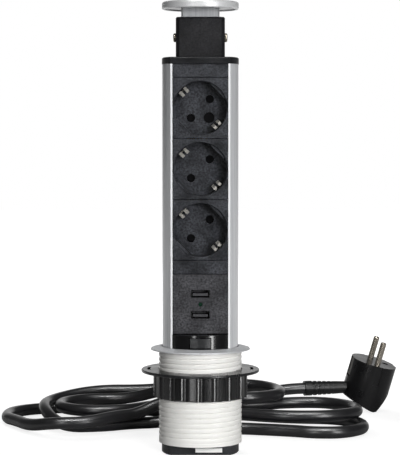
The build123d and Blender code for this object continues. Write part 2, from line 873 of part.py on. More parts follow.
neck_top = cap_bottom + cap_lip_depth
with BuildPart() as neck:
    with BuildSketch(Plane.XY.offset(neck_bottom)):
        Rectangle(2 * neck_half_width, 2 * neck_half_depth)
        chamfer(vertices(), neck_bevel)
    extrude(amount=neck_top - neck_bottom)
    with BuildSketch(Plane.XY.offset(neck_bottom)):
        Rectangle(2 * (neck_half_width - neck_wall), 2 * (neck_half_depth - neck_wall))
    extrude(amount=neck_top - neck_bottom - neck_wall, mode=Mode.SUBTRACT)
    with BuildSketch(Plane(origin=(-neck_half_width, 0, head_screw_z), z_dir=(1, 0, 0))):
        Circle(large_thread_radius)
    extrude(amount=2 * neck_half_width, mode=Mode.SUBTRACT)
    with BuildSketch(Plane.XY.offset(neck_top)):
        with GridLocations(2 * cap_screw_offset, 0, 2, 1):
            Circle(small_thread_radius + screw_clearance)
    extrude(amount=-neck_wall, mode=Mode.SUBTRACT)
save(neck.part, "neck")

with BuildPart() as cap_disc:
    with BuildSketch(Plane.XY.offset(cap_bottom)):
        Circle(cap_radius)
    extrude(amount=cap_thickness)
    fillet(cap_disc.faces().sort_by(Axis.Z)[-1].edges(), cap_rounding)
    fillet(cap_disc.faces().sort_by(Axis.Z)[0].edges(), cap_lip_depth)
    with BuildSketch(Plane.XY.offset(cap_bottom)):
        Circle(cap_radius - cap_lip_width)
    extrude(amount=cap_lip_depth, mode=Mode.SUBTRACT)
    with BuildSketch(Plane.XY.offset(neck_top)):
        with GridLocations(2 * cap_screw_offset, 0, 2, 1):
            Circle(small_thread_radius)
    extrude(amount=cap_screw_length - neck_wall, mode=Mode.SUBTRACT)
save(cap_disc.part, "cap_disc")

cap_screws = []
head_screws = []
for side in (-1, 1):
    under = Plane(origin=(side * cap_screw_offset, 0, neck_top - neck_wall), z_dir=(0, 0, -1))
    cap_screws.append(
        screw_at(under, small_head_radius, small_head_height, small_thread_radius, cap_screw_length)
    )
    beside = Plane(origin=(side * box_half_width, 0, head_screw_z), z_dir=(side, 0, 0))
    head_screws.append(
        screw_at(beside, large_head_radius, large_head_height, large_thread_radius, head_screw_length)
    )
save_group(cap_screws, "cap_screws")
save_group(head_screws, "head_screws")

# Collar: threaded tube with a stop lip inside its lower end and a notch for the cord
notch_half = grommet_radius + cord_notch_clearance
notch_top = grommet_axis_z + notch_half
thread_turns = int((tube_length - thread_neck - thread_tail) / thread_pitch)
with BuildPart() as threaded_tube:
    with BuildSketch(Plane.XY.offset(tube_bottom)):
        Circle(thread_crest_radius)
        Circle(tube_bore, mode=Mode.SUBTRACT)
    extrude(amount=tube_top - tube_bottom)
    with BuildSketch(Plane.XY.offset(tube_bottom)):
        Circle(thread_crest_radius - thread_depth)
        Circle(stop_lip_bore, mode=Mode.SUBTRACT)
    extrude(amount=stop_lip_height)
    with BuildSketch(Plane.XZ):
        for groove in range(thread_turns):
            groove_z = tube_bottom + thread_tail + thread_pitch * (groove + 0.5)
            with BuildLine():
                Polyline(
                    (thread_crest_radius + thread_depth, groove_z + thread_groove_width),
                    (thread_crest_radius - thread_depth, groove_z),
                    (thread_crest_radius + thread_depth, groove_z - thread_groove_width),
                    close=True,
                )
            make_face()
    revolve(axis=Axis.Z, mode=Mode.SUBTRACT)
    with BuildSketch(facing(tower_inner / 2, tube_bottom)):
        Rectangle(2 * notch_half, 2 * (notch_top - tube_bottom))
    extrude(amount=-thread_crest_radius, mode=Mode.SUBTRACT)
save(threaded_tube.part, "threaded_tube")

with BuildPart() as flange_ring:
    with BuildSketch(Plane.XZ):
        with BuildLine():
            Polyline(
                (tube_bore, tube_top),
                (thread_crest_radius + rebate_clearance, tube_top),
                (thread_crest_radius + rebate_clearance, flange_bottom),
                (flange_radius, flange_bottom),
                (flange_radius, flange_bottom + flange_edge / 2),
                (flange_radius - flange_edge / 2, flange_bottom + flange_edge),
                (tube_bore + flange_crown_width, flange_top),
                (tube_bore, flange_top),
                close=True,
            )
        make_face()
    revolve(axis=Axis.Z)
save(flange_ring.part, "flange_ring")

# Blank label on the base cap's flat front
with BuildPart() as blank_label:
    with BuildSketch(facing(-base_flat, label_centre_z)):
        with Locations((label_centre_x, 0)):
            Rectangle(label_width, label_height)
    extrude(amount=label_thickness)
save(blank_label.part, "blank_label")

# Clamp ring with arc slots, and the fluted nut under it
with BuildPart() as clamp_ring:
    with BuildSketch(Plane.XY.offset(clamp_bottom)):
        Circle(clamp_radius)
        Circle(nut_bore, mode=Mode.SUBTRACT)
    extrude(amount=clamp_thickness)
    rims = clamp_ring.edges().filter_by(GeomType.CIRCLE).filter_by(lambda edge: edge.radius > nut_radius)
    fillet(rims, clamp_rounding)
    with BuildSketch(Plane.XY.offset(clamp_bottom)):
        for turn in range(clamp_slot_count):
            start = turn * 360 / clamp_slot_count - clamp_slot_angle / 2
            with BuildLine():
                CenterArc((0, 0), clamp_slot_middle, start, clamp_slot_angle)
            trace(line_width=clamp_ring_width * clamp_slot_width_share)
    extrude(amount=clamp_thickness, mode=Mode.SUBTRACT)
save(clamp_ring.part, "clamp_ring")

with BuildPart() as ring_nut:
    with BuildSketch(Plane.XY.offset(nut_bottom)):
        Circle(nut_radius)
        with PolarLocations(nut_radius + flute_radius - flute_depth, flute_count):
            Circle(flute_radius, mode=Mode.SUBTRACT)
        Circle(nut_bore, mode=Mode.SUBTRACT)
    extrude(amount=nut_height)
    with BuildSketch(Plane.XZ):
        with BuildLine():
            Polyline(
                (nut_radius - nut_taper, nut_bottom),
                (nut_radius + nut_taper, nut_bottom),
                (nut_radius + nut_taper, nut_bottom + 2 * nut_taper),
                close=True,
            )
        make_face()
    revolve(axis=Axis.Z, mode=Mode.SUBTRACT)
save(ring_nut.part, "ring_nut")

# Grommet, cord clamp and its screws
with BuildPart() as cord_grommet:
    with BuildSketch(Plane(origin=(0, 0, grommet_axis_z), x_dir=(0, 1, 0), z_dir=(1, 0, 0))):
        with BuildLine():
            Polyline(
                (grommet_front, 0),
                (grommet_front, grommet_radius),
                (grommet_taper_start, grommet_radius),
                (grommet_tip, grommet_tip_radius),
                (grommet_tip, cord_radius + grommet_fit),
                (cord_start, cord_radius + grommet_fit),
                (cord_start, 0),
                close=True,
            )
        make_face()
    revolve(axis=Axis(origin=(0, 0, grommet_axis_z), direction=(0, 1, 0)))
save(cord_grommet.part, "cord_grommet")

clamp_bar_middle = (clamp_bar_front + clamp_bar_back) / 2
clamp_bar_top = grommet_axis_z + grommet_radius + clamp_bar_roof
with BuildPart() as cord_clamp:
    with BuildSketch(Plane.XY.offset(base_thickness)):
        with Locations((0, clamp_bar_middle)):
            Rectangle(2 * clamp_bar_half, clamp_bar_back - clamp_bar_front)
    extrude(amount=clamp_bar_top - base_thickness)
    with BuildSketch(facing(clamp_bar_front, grommet_axis_z)):
        Circle(grommet_radius + grommet_fit)
        with Locations((0, -grommet_radius)):
            Rectangle(2 * (grommet_radius + grommet_fit), 2 * grommet_radius)
    extrude(amount=clamp_bar_front - clamp_bar_back, mode=Mode.SUBTRACT)
    with BuildSketch(Plane.XY.offset(clamp_bar_top)):
        with GridLocations(2 * clamp_screw_offset, 0, 2, 1):
            with Locations((0, clamp_bar_middle)):
                Circle(small_thread_radius + screw_clearance)
    extrude(amount=base_thickness - clamp_bar_top, mode=Mode.SUBTRACT)
save(cord_clamp.part, "cord_clamp")

clamp_screws = []
for side in (-1, 1):
    on_bar = Plane(origin=(side * clamp_screw_offset, clamp_bar_middle, clamp_bar_top), z_dir=(0, 0, 1))
    clamp_screws.append(
        screw_at(
            on_bar,
            small_head_radius,
            small_head_height,
            small_thread_radius,
            clamp_bar_top - base_thickness / 2,
        )
    )
save_group(clamp_screws, "clamp_screws")


def tube_along(points, radii, radius):
    """A round tube along straight runs joined by tangent arcs."""
    with BuildPart() as tube:
        with BuildLine() as path:
            FilletPolyline(*points, radius=radii)
        with BuildSketch(Plane(origin=path.line @ 0, z_dir=path.line % 0)):
            Circle(radius)
        sweep(path=path.line)
    return tube.part, sum(edge.length for edge in path.edges())


def corner_radii(points):
    """Each corner's radius: a share of its shorter run over the tangent of half its turn."""
    radii = []
    for before, here, after in zip(points, points[1:], points[2:]):
        run_in = Vector(here) - Vector(before)
        run_out = Vector(after) - Vector(here)
        half_turn = math.radians(run_in.get_angle(run_out) / 2)
        radii.append(corner_share * min(run_in.length, run_out.length) / math.tan(half_turn))
    return radii


# Inner leads, from the grommet up to the busbars
lead_ends = {
    "live_lead": (pin_offset, (busbar_front + busbar_back) / 2, busbar_low - lead_end_gap),
    "earth_lead": (0, (strap_back + earth_strip_back) / 2, earth_low - lead_end_gap),
    "neutral_lead": (-pin_offset, (busbar_front + busbar_back) / 2, busbar_low - lead_end_gap),
}
for place, (lead_name, lead_end) in enumerate(lead_ends.items()):
    start_x = (1 - place) * lead_spacing
    end_x, end_y, end_z = lead_end
    behind = max(end_y, transformer_depth + board_back + 2 * lead_radius)
    route = [
        (start_x, grommet_front, grommet_axis_z),
        (start_x, lead_front, grommet_axis_z),
        (start_x, lead_front, lead_turn_z),
        (end_x, behind, lead_back_z),
        (end_x, behind, mid_blank_bottom - lead_rise),
        (end_x, end_y, end_z),
    ]
    if behind == end_y:
        route.pop(4)
    lead, lead_length = tube_along(route, lead_bend_radius, lead_radius)
    save(lead, lead_name)


# Cord, first stretch
exit_radii = corner_radii(exit_route)
cord_exit, exit_length = tube_along(exit_route, exit_radii, cord_radius)
save(cord_exit, "cord_exit")


def heading_vector(degrees):
    """The level direction at an angle from +X."""
    return Vector(math.cos(math.radians(degrees)), math.sin(math.radians(degrees)), 0)


def biarc_joint(start, start_way, end, end_way):
    """The point where two tangent arcs between two stations meet."""
    chord = end - start
    square = 2 * (1 - start_way.dot(end_way))
    linear = 2 * chord.dot(start_way + end_way)
    reach = 2 * chord.dot(chord) / (linear + math.sqrt(linear**2 + 4 * square * chord.dot(chord)))
    return (start + end + (start_way - end_way) * reach) * 0.5


def arc_points(start, way, end, steps):
    """The radius of the arc that leaves start along way and reaches end, and points on it."""
    chord = end - start
    half_turn = math.radians(way.get_angle(chord))
    radius = chord.length / (2 * math.sin(half_turn))
    inward = (chord.normalized() - way * math.cos(half_turn)).normalized()
    centre = start + inward * radius
    points = []
    for step in range(1, steps + 1):
        turn = 2 * half_turn * step / steps
        points.append(centre - inward * radius * math.cos(turn) + way * radius * math.sin(turn))
    last_way = way * math.cos(2 * half_turn) + inward * math.sin(2 * half_turn)
    return radius, points, last_way


# Loops: two tangent arcs for each quarter turn, as one unbroken tube
arc_steps = 12
loop_points = [Vector(*loop_stations[0][:3])]
loop_radii = []
with BuildPart() as cord_coil:
    with BuildLine() as loop_path:
        for here, there in zip(loop_stations, loop_stations[1:]):
            start = Vector(*here[:3])
            end = Vector(*there[:3])
            way = heading_vector(here[3])
            joint = biarc_joint(start, way, end, heading_vector(there[3]))
            for arc_start, arc_end in ((start, joint), (joint, end)):
                radius, points, way = arc_points(arc_start, way, arc_end, arc_steps)
                ThreePointArc(arc_start, points[arc_steps // 2 - 1], arc_end)
                loop_radii.append(radius)
                loop_points.extend(points)
    with BuildSketch(Plane(origin=loop_path.line @ 0, z_dir=loop_path.line % 0)):
        Circle(cord_radius)
    sweep(path=loop_path.line)
save(cord_coil.part, "cord_coil")
loop_length = sum(edge.length for edge in loop_path.edges())


def least_gap(points, radius):
    """The least gap between strands of the tube that are apart along it."""
    along = [0.0]
    for before, here in zip(points, points[1:]):
        along.append(along[-1] + (here - before).length)
    least = None
    for first, (point, place) in enumerate(zip(points, along)):
        for other, other_place in zip(points[first + 1:], along[first + 1:]):
            if other_place - place > 2 * math.pi * radius:
                gap = (other - point).length - 2 * radius
                if least is None or gap < least:
                    least = gap
    return least


# Plug on the end of the cord, and the boot between them
lean = math.radians(plug_lean)
nod = math.radians(plug_nod)
plug_up = Vector(math.sin(lean), -math.sin(nod), math.cos(lean)).normalized()
cable_way = heading_vector(plug_heading)
plug_x = (cable_way - plug_up * cable_way.dot(plug_up)).normalized()
plug_face = Plane(origin=plug_face_centre, x_dir=plug_x, z_dir=plug_up)
plug_side = Plane(origin=plug_face_centre, x_dir=plug_x, z_dir=plug_x.cross(plug_up))
boot_end = plug_face.from_local_coords(Vector(boot_root_depth - plug_radius, 0, -plug_cord_height))
boot_start = boot_end - cable_way * (boot_length + boot_root_depth)

with BuildPart() as plug_body:
    with BuildSketch(plug_side):
        with BuildLine():
            Polyline(
                (-plug_radius, 0),
                (plug_radius, 0),
                (plug_radius, -plug_side_height),
                (plug_ridge_x + plug_ridge_half, -plug_wedge_height + plug_ridge_drop),
                (plug_ridge_x, -plug_wedge_height),
                (plug_ridge_x - plug_ridge_half, -plug_wedge_height + plug_ridge_drop / 2),
                (-plug_radius, -plug_cord_side_height),
                close=True,
            )
        make_face()
    extrude(amount=plug_radius, both=True)
    with BuildSketch(plug_face):
        Circle(plug_radius)
    extrude(amount=-plug_wedge_height, mode=Mode.INTERSECT)
    with BuildSketch(plug_face):
        with GridLocations(2 * plug_radius - plug_groove_depth, 0, 2, 1):
            Rectangle(plug_groove_depth, plug_groove_width)
    extrude(amount=-plug_groove_height, mode=Mode.SUBTRACT)
    with BuildSketch(plug_face):
        with GridLocations(0, 2 * plug_radius - plug_guide_depth, 1, 2):
            Rectangle(plug_guide_width, plug_guide_depth)
    extrude(amount=-plug_groove_height, mode=Mode.SUBTRACT)
    with BuildSketch(plug_face):
        with Locations((earth_hole_x, 0)):
            Circle(earth_hole_radius)
    extrude(amount=-earth_hole_depth, mode=Mode.SUBTRACT)
    with BuildSketch(Plane(origin=boot_end, z_dir=-cable_way)):
        Circle(boot_plug_radius)
    extrude(amount=plug_radius / 2, mode=Mode.SUBTRACT)
save(plug_body.part, "plug_body")

with BuildPart() as plug_pins:
    with BuildSketch(plug_face):
        with GridLocations(0, pin_spacing, 1, 2):
            Circle(pin_radius)
    extrude(amount=pin_length)
    tips = plug_pins.faces().filter_by(GeomType.PLANE).sort_by(Axis(plug_face_centre, plug_up))[-2:]
    fillet(tips.edges(), pin_radius * head_rounding_share)
save(plug_pins.part, "plug_pins")

with BuildPart() as plug_earth_contacts:
    contact_middle = plug_radius - plug_groove_depth + plug_contact_thickness / 2
    with BuildSketch(plug_face):
        with GridLocations(2 * contact_middle, 0, 2, 1):
            Rectangle(plug_contact_thickness, plug_contact_width)
    extrude(amount=-plug_contact_height)
save(plug_earth_contacts.part, "plug_earth_contacts")

boot_plane = Plane(origin=boot_start, x_dir=cable_way, z_dir=cable_way.cross(Vector(0, 0, 1)))
boot_whole = boot_length + boot_root_depth
with BuildPart() as plug_boot:
    with BuildSketch(boot_plane):
        with BuildLine():
            Polyline(
                (0, 0),
                (0, boot_cord_radius),
                (boot_collar, boot_cord_radius),
                (boot_length, boot_plug_radius),
                (boot_whole, boot_plug_radius),
                (boot_whole, 0),
                close=True,
            )
        make_face()
        for groove in range(boot_groove_count):
            with Locations((boot_collar + (groove + 0.5) * boot_groove_pitch, boot_cord_radius)):
                Rectangle(boot_groove_width, 2 * boot_groove_depth, mode=Mode.SUBTRACT)
    revolve(axis=Axis(boot_start, cable_way))
save(plug_boot.part, "plug_boot")

# Cord, last stretch: from the loops to the boot
coil_end = Vector(*loop_stations[-1][:3])
coil_way = heading_vector(loop_stations[-1][3])
first_run = coil_end + coil_way * lead_first_run
last_run = boot_start - cable_way * lead_last_run
lead_route = [
    tuple(coil_end),
    tuple(first_run),
    tuple(last_run),
    tuple(boot_start),
]
lead_radii = corner_radii(lead_route)
cord_lead, last_length = tube_along(lead_route, lead_radii, cord_radius)
save(cord_lead, "cord_lead")

area = math.pi * cord_radius**2
print("exit radii", [round(value, 1) for value in exit_radii])
print("loop radii, least", round(min(loop_radii), 1))
print("lead radii", [round(value, 1) for value in lead_radii])
print("cord lengths", round(exit_length), round(loop_length), round(last_length))
print("volume over section times length", round(cord_exit.volume / area / exit_length, 4))
print("of the loops", round(cord_coil.part.volume / area / loop_length, 4))
print("of the lead", round(cord_lead.volume / area / last_length, 4))
print("least gap of the loops to themselves", round(least_gap(loop_points, cord_radius), 2))
print("boot start", [round(value, 1) for value in boot_start])
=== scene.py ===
import math

import bmesh
import bpy
from mathutils import Matrix, Vector


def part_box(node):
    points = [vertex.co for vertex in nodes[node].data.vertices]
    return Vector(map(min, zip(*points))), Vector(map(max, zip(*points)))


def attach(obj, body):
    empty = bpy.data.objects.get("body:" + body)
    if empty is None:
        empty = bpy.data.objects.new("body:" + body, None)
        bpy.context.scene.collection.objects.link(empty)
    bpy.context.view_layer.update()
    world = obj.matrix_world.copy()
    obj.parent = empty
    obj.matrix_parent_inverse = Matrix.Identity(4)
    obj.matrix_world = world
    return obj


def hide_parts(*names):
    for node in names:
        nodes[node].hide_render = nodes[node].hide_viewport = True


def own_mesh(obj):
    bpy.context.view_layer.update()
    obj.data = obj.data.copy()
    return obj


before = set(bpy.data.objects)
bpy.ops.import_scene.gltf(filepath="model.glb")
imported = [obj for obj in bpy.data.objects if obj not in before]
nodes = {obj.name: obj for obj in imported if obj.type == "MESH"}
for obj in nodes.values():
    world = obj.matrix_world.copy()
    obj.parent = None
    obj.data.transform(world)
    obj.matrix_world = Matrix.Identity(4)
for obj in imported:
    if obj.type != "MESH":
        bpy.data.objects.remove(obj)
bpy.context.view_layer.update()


def srgb(red, green, blue):
    """A colour as it is read off a screen, 0 to 255, as Blender's linear one."""
    linear = []
    for level in (red, green, blue):
        share = level / 255
        linear.append(share / 12.92 if share <= 0.04045 else ((share + 0.055) / 1.055) ** 2.4)
    return (*linear, 1.0)


def placed(name, data):
    """A new object in the scene's own collection."""
    thing = bpy.data.objects.new(name, data)
    bpy.context.scene.collection.objects.link(thing)
    return thing


# Effects that several finishes use

# A noise rarely leaves these bounds, so they stand for its darkest and its lightest
noise_low = 0.3
noise_high = 0.7

# The sockets of a Mix node that mixes colours
mix_factor, mix_first, mix_second, mix_result = 0, 6, 7, 2


def new_group(name, inputs, outputs):
    """An empty shader node group with its named sockets."""
    group = bpy.data.node_groups.new(name, "ShaderNodeTree")
    for label, kind, default in inputs:
        socket = group.interface.new_socket(label, in_out="INPUT", socket_type=kind)
        socket.default_value = default
    for label, kind in outputs:
        group.interface.new_socket(label, in_out="OUTPUT", socket_type=kind)
    return group, group.nodes.new("NodeGroupInput"), group.nodes.new("NodeGroupOutput")


def noise(group, vector, scale_socket, detail):
    """A noise whose scale is one of the group's inputs."""
    node = group.nodes.new("ShaderNodeTexNoise")
    node.inputs["Detail"].default_value = detail
    group.links.new(vector, node.inputs["Vector"])
    group.links.new(scale_socket, node.inputs["Scale"])
    return node.outputs["Fac"]


def spread(group, value, low, high):
    """A noise, spread from low to high."""
    node = group.nodes.new("ShaderNodeMapRange")
    node.inputs["From Min"].default_value = noise_low
    node.inputs["From Max"].default_value = noise_high
    for socket, bound in (("To Min", low), ("To Max", high)):
        if isinstance(bound, float):
            node.inputs[socket].default_value = bound
        else:
            group.links.new(bound, node.inputs[socket])
    group.links.new(value, node.inputs["Value"])
    return node.outputs["Result"]


def blend_colours(tree, factor, first, second):
    """Two colours mixed by a factor: the first from a socket, the second from a socket or as it is given."""
    node = tree.nodes.new("ShaderNodeMix")
    node.data_type = "RGBA"
    tree.links.new(factor, node.inputs[mix_factor])
    tree.links.new(first, node.inputs[mix_first])
    if isinstance(second, tuple):
        node.inputs[mix_second].default_value = second
    else:
        tree.links.new(second, node.inputs[mix_second])
    return node.outputs[mix_result]


effect_outputs = [
    ("Colour", "NodeSocketColor"),
    ("Roughness", "NodeSocketFloat"),
    ("Height", "NodeSocketFloat"),
]


def moulded_grain():
    """Eroded mould texture: a fine pitted height, with slow patches of shade and gloss."""
    group, inside, outside = new_group(
        "moulded_grain",
        [
            ("Colour", "NodeSocketColor", (0.1, 0.1, 0.1, 1)),
            ("Worn Colour", "NodeSocketColor", (0.2, 0.2, 0.2, 1)),
            ("Grain Scale", "NodeSocketFloat", 2600.0),
            ("Patch Scale", "NodeSocketFloat", 60.0),
            ("Roughness Low", "NodeSocketFloat", 0.45),
            ("Roughness High", "NodeSocketFloat", 0.6),
        ],
        effect_outputs,
    )
    place = group.nodes.new("ShaderNodeTexCoord").outputs["Object"]
    grain = noise(group, place, inside.outputs["Grain Scale"], 3.0)
    patch = noise(group, place, inside.outputs["Patch Scale"], 4.0)
    mottle = group.nodes.new("ShaderNodeMath")
    mottle.operation = "MULTIPLY"
    group.links.new(spread(group, grain, 0.15, 1.0), mottle.inputs[0])
    group.links.new(spread(group, patch, 0.25, 1.0), mottle.inputs[1])
    colours = inside.outputs["Colour"], inside.outputs["Worn Colour"]
    group.links.new(blend_colours(group, mottle.outputs[0], *colours), outside.inputs["Colour"])
    gloss = spread(group, patch, inside.outputs["Roughness Low"], inside.outputs["Roughness High"])
    group.links.new(gloss, outside.inputs["Roughness"])
    group.links.new(grain, outside.inputs["Height"])
    return group


def drawn_lines():
    """Fine lines along one direction, as on brushed, drawn or turned metal."""
    group, inside, outside = new_group(
        "drawn_lines",
        [
            ("Colour", "NodeSocketColor", (0.6, 0.6, 0.6, 1)),
            ("Line Colour", "NodeSocketColor", (0.5, 0.5, 0.5, 1)),
            ("Stretch", "NodeSocketVector", (1.0, 1.0, 0.02)),
            ("Line Scale", "NodeSocketFloat", 900.0),
            ("Roughness Low", "NodeSocketFloat", 0.3),
            ("Roughness High", "NodeSocketFloat", 0.42),
        ],
        effect_outputs,
    )
    place = group.nodes.new("ShaderNodeTexCoord").outputs["Object"]
    scaled = group.nodes.new("ShaderNodeVectorMath")
    scaled.operation = "MULTIPLY"
    group.links.new(place, scaled.inputs[0])
    group.links.new(inside.outputs["Stretch"], scaled.inputs[1])
    lines = noise(group, scaled.outputs[0], inside.outputs["Line Scale"], 4.0)
    colours = inside.outputs["Colour"], inside.outputs["Line Colour"]
    group.links.new(blend_colours(group, spread(group, lines, 0.0, 1.0), *colours), outside.inputs["Colour"])
    gloss = spread(group, lines, inside.outputs["Roughness Low"], inside.outputs["Roughness High"])
    group.links.new(gloss, outside.inputs["Roughness"])
    group.links.new(lines, outside.inputs["Height"])
    return group


mould_group = moulded_grain()
line_group = drawn_lines()
grain_depth = 0.0002
line_depth = 0.0001
line_bump = 0.05


def finish(name, group, values, bump, bump_distance, shader_values):
    """A material whose colour, gloss and bump come from one of the effect groups."""
    material = bpy.data.materials.new(name)
    material.use_nodes = True
    tree = material.node_tree
    shader = tree.nodes["Principled BSDF"]
    effect = tree.nodes.new("ShaderNodeGroup")
    effect.node_tree = group
    for label, value in values.items():
        effect.inputs[label].default_value = value
    height = tree.nodes.new("ShaderNodeBump")
    height.inputs["Strength"].default_value = bump
    height.inputs["Distance"].default_value = bump_distance
    tree.links.new(effect.outputs["Colour"], shader.inputs["Base Color"])
    tree.links.new(effect.outputs["Roughness"], shader.inputs["Roughness"])
    tree.links.new(effect.outputs["Height"], height.inputs["Height"])
    tree.links.new(height.outputs["Normal"], shader.inputs["Normal"])
    for label, value in shader_values.items():
        shader.inputs[label].default_value = value
    return material


def plastic(name, colour, fleck, roughness, grain=2600.0, patch=60.0, bump=0.25, specular=0.5):
    """Moulded plastic or rubber of one colour with its grain."""
    values = {
        "Colour": colour,
        "Worn Colour": fleck,
        "Grain Scale": grain,
        "Patch Scale": patch,
        "Roughness Low": roughness[0],
        "Roughness High": roughness[1],
    }
    return finish(name, mould_group, values, bump, grain_depth, {"Specular IOR Level": specular})


# The stretch of a metal's lines: drawn out along the height, or alike in every direction
along_z = (1.0, 1.0, 0.015)
even = (1.0, 1.0, 1.0)


def metal(name, colour, line, roughness, stretch=even, scale=1200.0, metallic=1.0):
    """Metal with drawn or turned lines."""
    values = {
        "Colour": colour,
        "Line Colour": line,
        "Stretch": stretch,
        "Line Scale": scale,
        "Roughness Low": roughness[0],
        "Roughness High": roughness[1],
    }
    return finish(name, line_group, values, line_bump, line_depth, {"Metallic": metallic})


charcoal_grain = {"grain": 700.0, "bump": 0.8}

# Each plastic or rubber: its colour, the colour of its flecks, its roughness from and to, and what else it has
plastics = {
    "black_plate": (srgb(10, 11, 13), srgb(38, 39, 42), (0.34, 0.46), {"grain": 1800.0, "specular": 0.2}),
    "charcoal_insert": (
        srgb(6, 7, 9), srgb(76, 78, 84), (0.36, 0.52), {**charcoal_grain, "patch": 90.0, "specular": 0.22}
    ),
    # The charger face, a lighter copy of the insert's charcoal: a painted sheen for the extra light the face catches
    "charger_face_painted_sheen": (
        srgb(8, 8, 11), srgb(88, 88, 92), (0.36, 0.52), {**charcoal_grain, "patch": 55.0, "specular": 0.25}
    ),
    "charcoal_base": (srgb(26, 27, 29), srgb(64, 65, 68), (0.26, 0.38), {"specular": 0.35}),
    "head_black": (
        srgb(7, 7, 9), srgb(42, 42, 45), (0.3, 0.42), {"grain": 900.0, "patch": 40.0, "bump": 0.4, "specular": 0.3}
    ),
    "latch_gloss": (srgb(8, 8, 9), srgb(16, 16, 18), (0.12, 0.22), {"bump": 0.03, "specular": 0.7}),
    "button_black": (srgb(20, 21, 23), srgb(46, 47, 49), (0.26, 0.38), {}),
    "clamp_black": (srgb(12, 12, 14), srgb(34, 35, 37), (0.24, 0.36), {"grain": 1500.0, "specular": 0.6}),
    "nut_black": (srgb(7, 7, 8), srgb(14, 14, 16), (0.22, 0.28), {"grain": 900.0, "bump": 0.02, "specular": 1.0}),
    "tube_white": (srgb(240, 239, 236), srgb(232, 231, 227), (0.4, 0.52), {"bump": 0.08}),
    "label_paper": (srgb(246, 246, 244), srgb(238, 238, 235), (0.5, 0.6), {"bump": 0.05}),
    # The shutters near-black, darker than the insert: painted shade for the deep pin holes; the access hole's rod of
    # painted shade shares it
    "shutter_painted_shade": (srgb(4, 4, 5), srgb(10, 10, 12), (0.35, 0.45), {"specular": 0.1}),
    "carrier_grey": (srgb(96, 98, 101), srgb(112, 114, 118), (0.45, 0.58), {}),
    "tongue_grey": (srgb(58, 58, 61), srgb(74, 74, 77), (0.35, 0.45), {"bump": 0.05, "specular": 0.3}),
    "board_green": (srgb(28, 92, 52), srgb(34, 108, 62), (0.3, 0.42), {"grain": 900.0, "bump": 0.1}),
    "coil_tape": (srgb(196, 168, 70), srgb(210, 184, 92), (0.4, 0.5), {"grain": 700.0}),
    "can_black": (srgb(24, 26, 34), srgb(36, 38, 48), (0.2, 0.3), {}),
    "brown_lead": (srgb(96, 58, 36), srgb(110, 70, 46), (0.35, 0.5), {}),
    "blue_lead": (srgb(42, 74, 140), srgb(56, 88, 154), (0.35, 0.5), {}),
    "green_lead": (srgb(96, 140, 48), srgb(178, 186, 60), (0.35, 0.5), {"grain": 260.0}),
    "cord_black": (srgb(16, 16, 18), srgb(30, 30, 33), (0.28, 0.34), {"grain": 1400.0, "bump": 0.02, "specular": 1.0}),
    "boot_black": (srgb(10, 10, 11), srgb(24, 24, 26), (0.3, 0.42), {}),
    "plug_black": (srgb(8, 8, 9), srgb(18, 18, 20), (0.24, 0.34), {"grain": 1600.0, "bump": 0.1}),
    "light_pipe": (srgb(8, 26, 18), srgb(18, 60, 40), (0.12, 0.2), {"bump": 0.02}),
}

# Each metal: its colour, the colour of its lines, its roughness from and to, and what else it has
metals = {
    "anodised_profile": (
        srgb(212, 213, 215), srgb(190, 192, 195), (0.3, 0.4), {"stretch": along_z, "scale": 900.0, "metallic": 0.25}
    ),
    "satin_silver_cap": (srgb(222, 223, 224), srgb(204, 205, 206), (0.34, 0.46), {"scale": 1500.0, "metallic": 0.3}),
    "silver_neck": (
        srgb(176, 177, 179), srgb(158, 160, 163), (0.38, 0.5), {"stretch": along_z, "scale": 900.0, "metallic": 0.5}
    ),
    "silver_flange": (srgb(208, 209, 211), srgb(194, 196, 199), (0.4, 0.52), {"scale": 1500.0, "metallic": 0.3}),
    # The earth straps near-white and barely metal: a painted highlight for the glints of polished nickel
    "nickel_clip_painted_highlight": (srgb(252, 250, 243), srgb(236, 231, 219), (0.12, 0.22), {"metallic": 0.1}),
    "nickel_pin": (srgb(196, 188, 176), srgb(168, 160, 148), (0.16, 0.28), {"metallic": 0.85}),
    "dull_contact": (srgb(92, 88, 82), srgb(70, 68, 64), (0.3, 0.4), {}),
    "usb_shell": (srgb(34, 34, 36), srgb(24, 24, 26), (0.3, 0.42), {"metallic": 0.5}),
    "zinc_screw": (srgb(186, 178, 164), srgb(150, 143, 130), (0.14, 0.26), {"scale": 1400.0, "metallic": 0.75}),
    "brass_strip": (srgb(206, 168, 92), srgb(188, 150, 76), (0.22, 0.34), {"stretch": along_z, "scale": 900.0}),
}

looks = {name: plastic(name, *values, **options) for name, (*values, options) in plastics.items()}
looks.update({name: metal(name, *values, **options) for name, (*values, options) in metals.items()})


def lip_painted_highlight(material, lip_y, colour, metallic):
    """Paint a highlight on the front edges of the open profile, ahead of a depth: a lighter colour and less metal, for
    the front light those edges catch.
    """
    tree = material.node_tree
    shader = tree.nodes["Principled BSDF"]
    drawn = shader.inputs["Base Color"].links[0].from_socket
    parts = tree.nodes.new("ShaderNodeSeparateXYZ")
    tree.links.new(tree.nodes.new("ShaderNodeTexCoord").outputs["Object"], parts.inputs[0])
    ahead = tree.nodes.new("ShaderNodeMath")
    ahead.operation = "LESS_THAN"
    ahead.inputs[1].default_value = lip_y
    tree.links.new(parts.outputs["Y"], ahead.inputs[0])
    tree.links.new(blend_colours(tree, ahead.outputs[0], drawn, colour), shader.inputs["Base Color"])
    shine = tree.nodes.new("ShaderNodeMapRange")
    shine.inputs["To Min"].default_value = shader.inputs["Metallic"].default_value
    shine.inputs["To Max"].default_value = metallic
    tree.links.new(ahead.outputs[0], shine.inputs["Value"])
    tree.links.new(shine.outputs["Result"], shader.inputs["Metallic"])


# The profile's front lips get a painted highlight: near-white and barely metal ahead of the lip depth
lip_painted_highlight(looks["anodised_profile"], lip_y=-0.017, colour=srgb(236, 237, 239), metallic=0.1)

